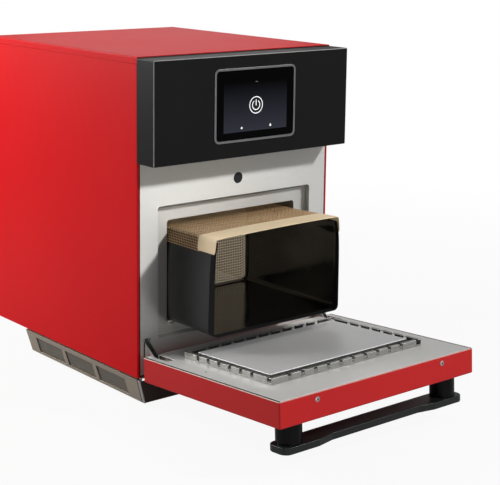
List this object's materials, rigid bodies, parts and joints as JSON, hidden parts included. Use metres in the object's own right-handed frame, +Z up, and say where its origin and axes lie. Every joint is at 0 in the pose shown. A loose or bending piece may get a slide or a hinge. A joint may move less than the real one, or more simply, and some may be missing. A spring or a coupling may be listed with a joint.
{
  "type": "speed oven",
  "caption": "Free-standing speed oven with a touch-screen fascia, a drop-down door with a bar handle, and a mesh-roofed liner that slides into the cavity.",
  "frame": {"origin": "on the floor under the middle of the oven's outline, with its door open as in the picture", "axes": "+Z up, the front with the door faces -Y, +X to the right of a person facing the front"},
  "size_m": [0.469, 0.9248, 0.658],
  "materials": {
    "stainless": "brushed",
    "dark_paint": "satin",
    "fascia_paint": "satin",
    "red_paint": "gloss paint",
    "plinth_paint": "satin",
    "zinc_sheet": "zinc plated",
    "hinge_steel": "zinc plated",
    "heater_tube": "oxidised",
    "motor_metal": "cast",
    "heat_sink": "extruded",
    "circuit_board": "solder mask",
    "black_plastic": "moulded",
    "handle_plastic": "satin",
    "gloss_black": "gloss",
    "foot_rubber": "matte",
    "screen_glass": "gloss",
    "ceramic": "matte",
    "mineral_wool": "fibrous",
    "filter_mesh": "fine mesh",
    "liner_sheet": "coated glass cloth",
    "liner_net": "coated open mesh",
    "liner_tape": "coated tape"
  },
  "bodies": {
    "cabinet": {"side_panel_left": "red_paint", "side_panel_right": "red_paint", "top_cover": "red_paint", "rear_panel": "zinc_sheet", "base_tray": "zinc_sheet", "front_frame": "stainless", "frame_plug": "black_plastic", "recess_channel": "stainless", "cavity": "stainless", "ceramic_floor": "ceramic", "insulation": "mineral_wool", "jet_duct": "zinc_sheet", "fan_chamber": "zinc_sheet", "heater": "heater_tube", "blower_motor": "motor_metal", "antenna_well": "stainless", "antenna_motor": "motor_metal", "waveguide": "zinc_sheet", "magnetron": "motor_metal", "electronics_shelf": "zinc_sheet", "inverter": "heat_sink", "control_board": "circuit_board", "cooling_fan_frame": "black_plastic", "mains_gland": "black_plastic", "door_switch": "black_plastic", "plinth_side_left": "plinth_paint", "plinth_side_right": "plinth_paint", "plinth_filter_left": "filter_mesh", "plinth_filter_right": "filter_mesh", "plinth_front": "gloss_black", "plinth_rear": "dark_paint", "foot_front_left": "foot_rubber", "foot_front_right": "foot_rubber", "foot_rear_left": "foot_rubber", "foot_rear_right": "foot_rubber", "fascia": "fascia_paint", "screen_bezel": "stainless", "touch_glass": "screen_glass", "display_module": "motor_metal", "hinge_bracket_left": "hinge_steel", "hinge_bracket_right": "hinge_steel", "hinge_pin_left": "hinge_steel", "hinge_pin_right": "hinge_steel"},
    "door": {"door_shell": "red_paint", "door_inner_panel": "stainless", "door_core": "mineral_wool", "choke_frame": "stainless", "choke_plate": "stainless", "handle_bar": "handle_plastic", "handle_post_left": "handle_plastic", "handle_post_right": "handle_plastic", "knuckle_left": "hinge_steel", "knuckle_right": "hinge_steel"},
    "liner": {"liner_shell": "liner_sheet", "liner_mesh": "liner_net", "liner_binding": "liner_tape"},
    "blower": {"blower_wheel": "zinc_sheet"},
    "cooling_fan": {"cooling_fan_wheel": "black_plastic"},
    "antenna": {"antenna": "stainless"}
  },
  "joints": [
    {"name": "door_hinge", "type": "hinge", "parent": "cabinet", "child": "door", "pos_m": [0, -0.08648, 0.0825], "axis": [-1, 0, 0], "range_deg": [0, 86.33]},
    {"name": "liner_slide", "type": "slide", "parent": "cabinet", "child": "liner", "axis": [0, 1, 0], "range_m": [0, 0.177]},
    {"name": "blower_spin", "type": "hinge", "parent": "cabinet", "child": "blower", "pos_m": [0, 0.32, 0.257], "axis": [0, 1, 0], "continuous": true},
    {"name": "cooling_fan_spin", "type": "hinge", "parent": "cabinet", "child": "cooling_fan", "pos_m": [0.12, 0.42, 0.5227], "axis": [0, 1, 0], "continuous": true},
    {"name": "antenna_spin", "type": "hinge", "parent": "cabinet", "child": "antenna", "pos_m": [0, 0.11702, 0.1], "axis": [0, 0, 1], "continuous": true}
  ],
  "couplings": [
    {"joint": "liner_slide", "follows": "door_hinge", "m_per_rad": 0.1174}
  ]
}
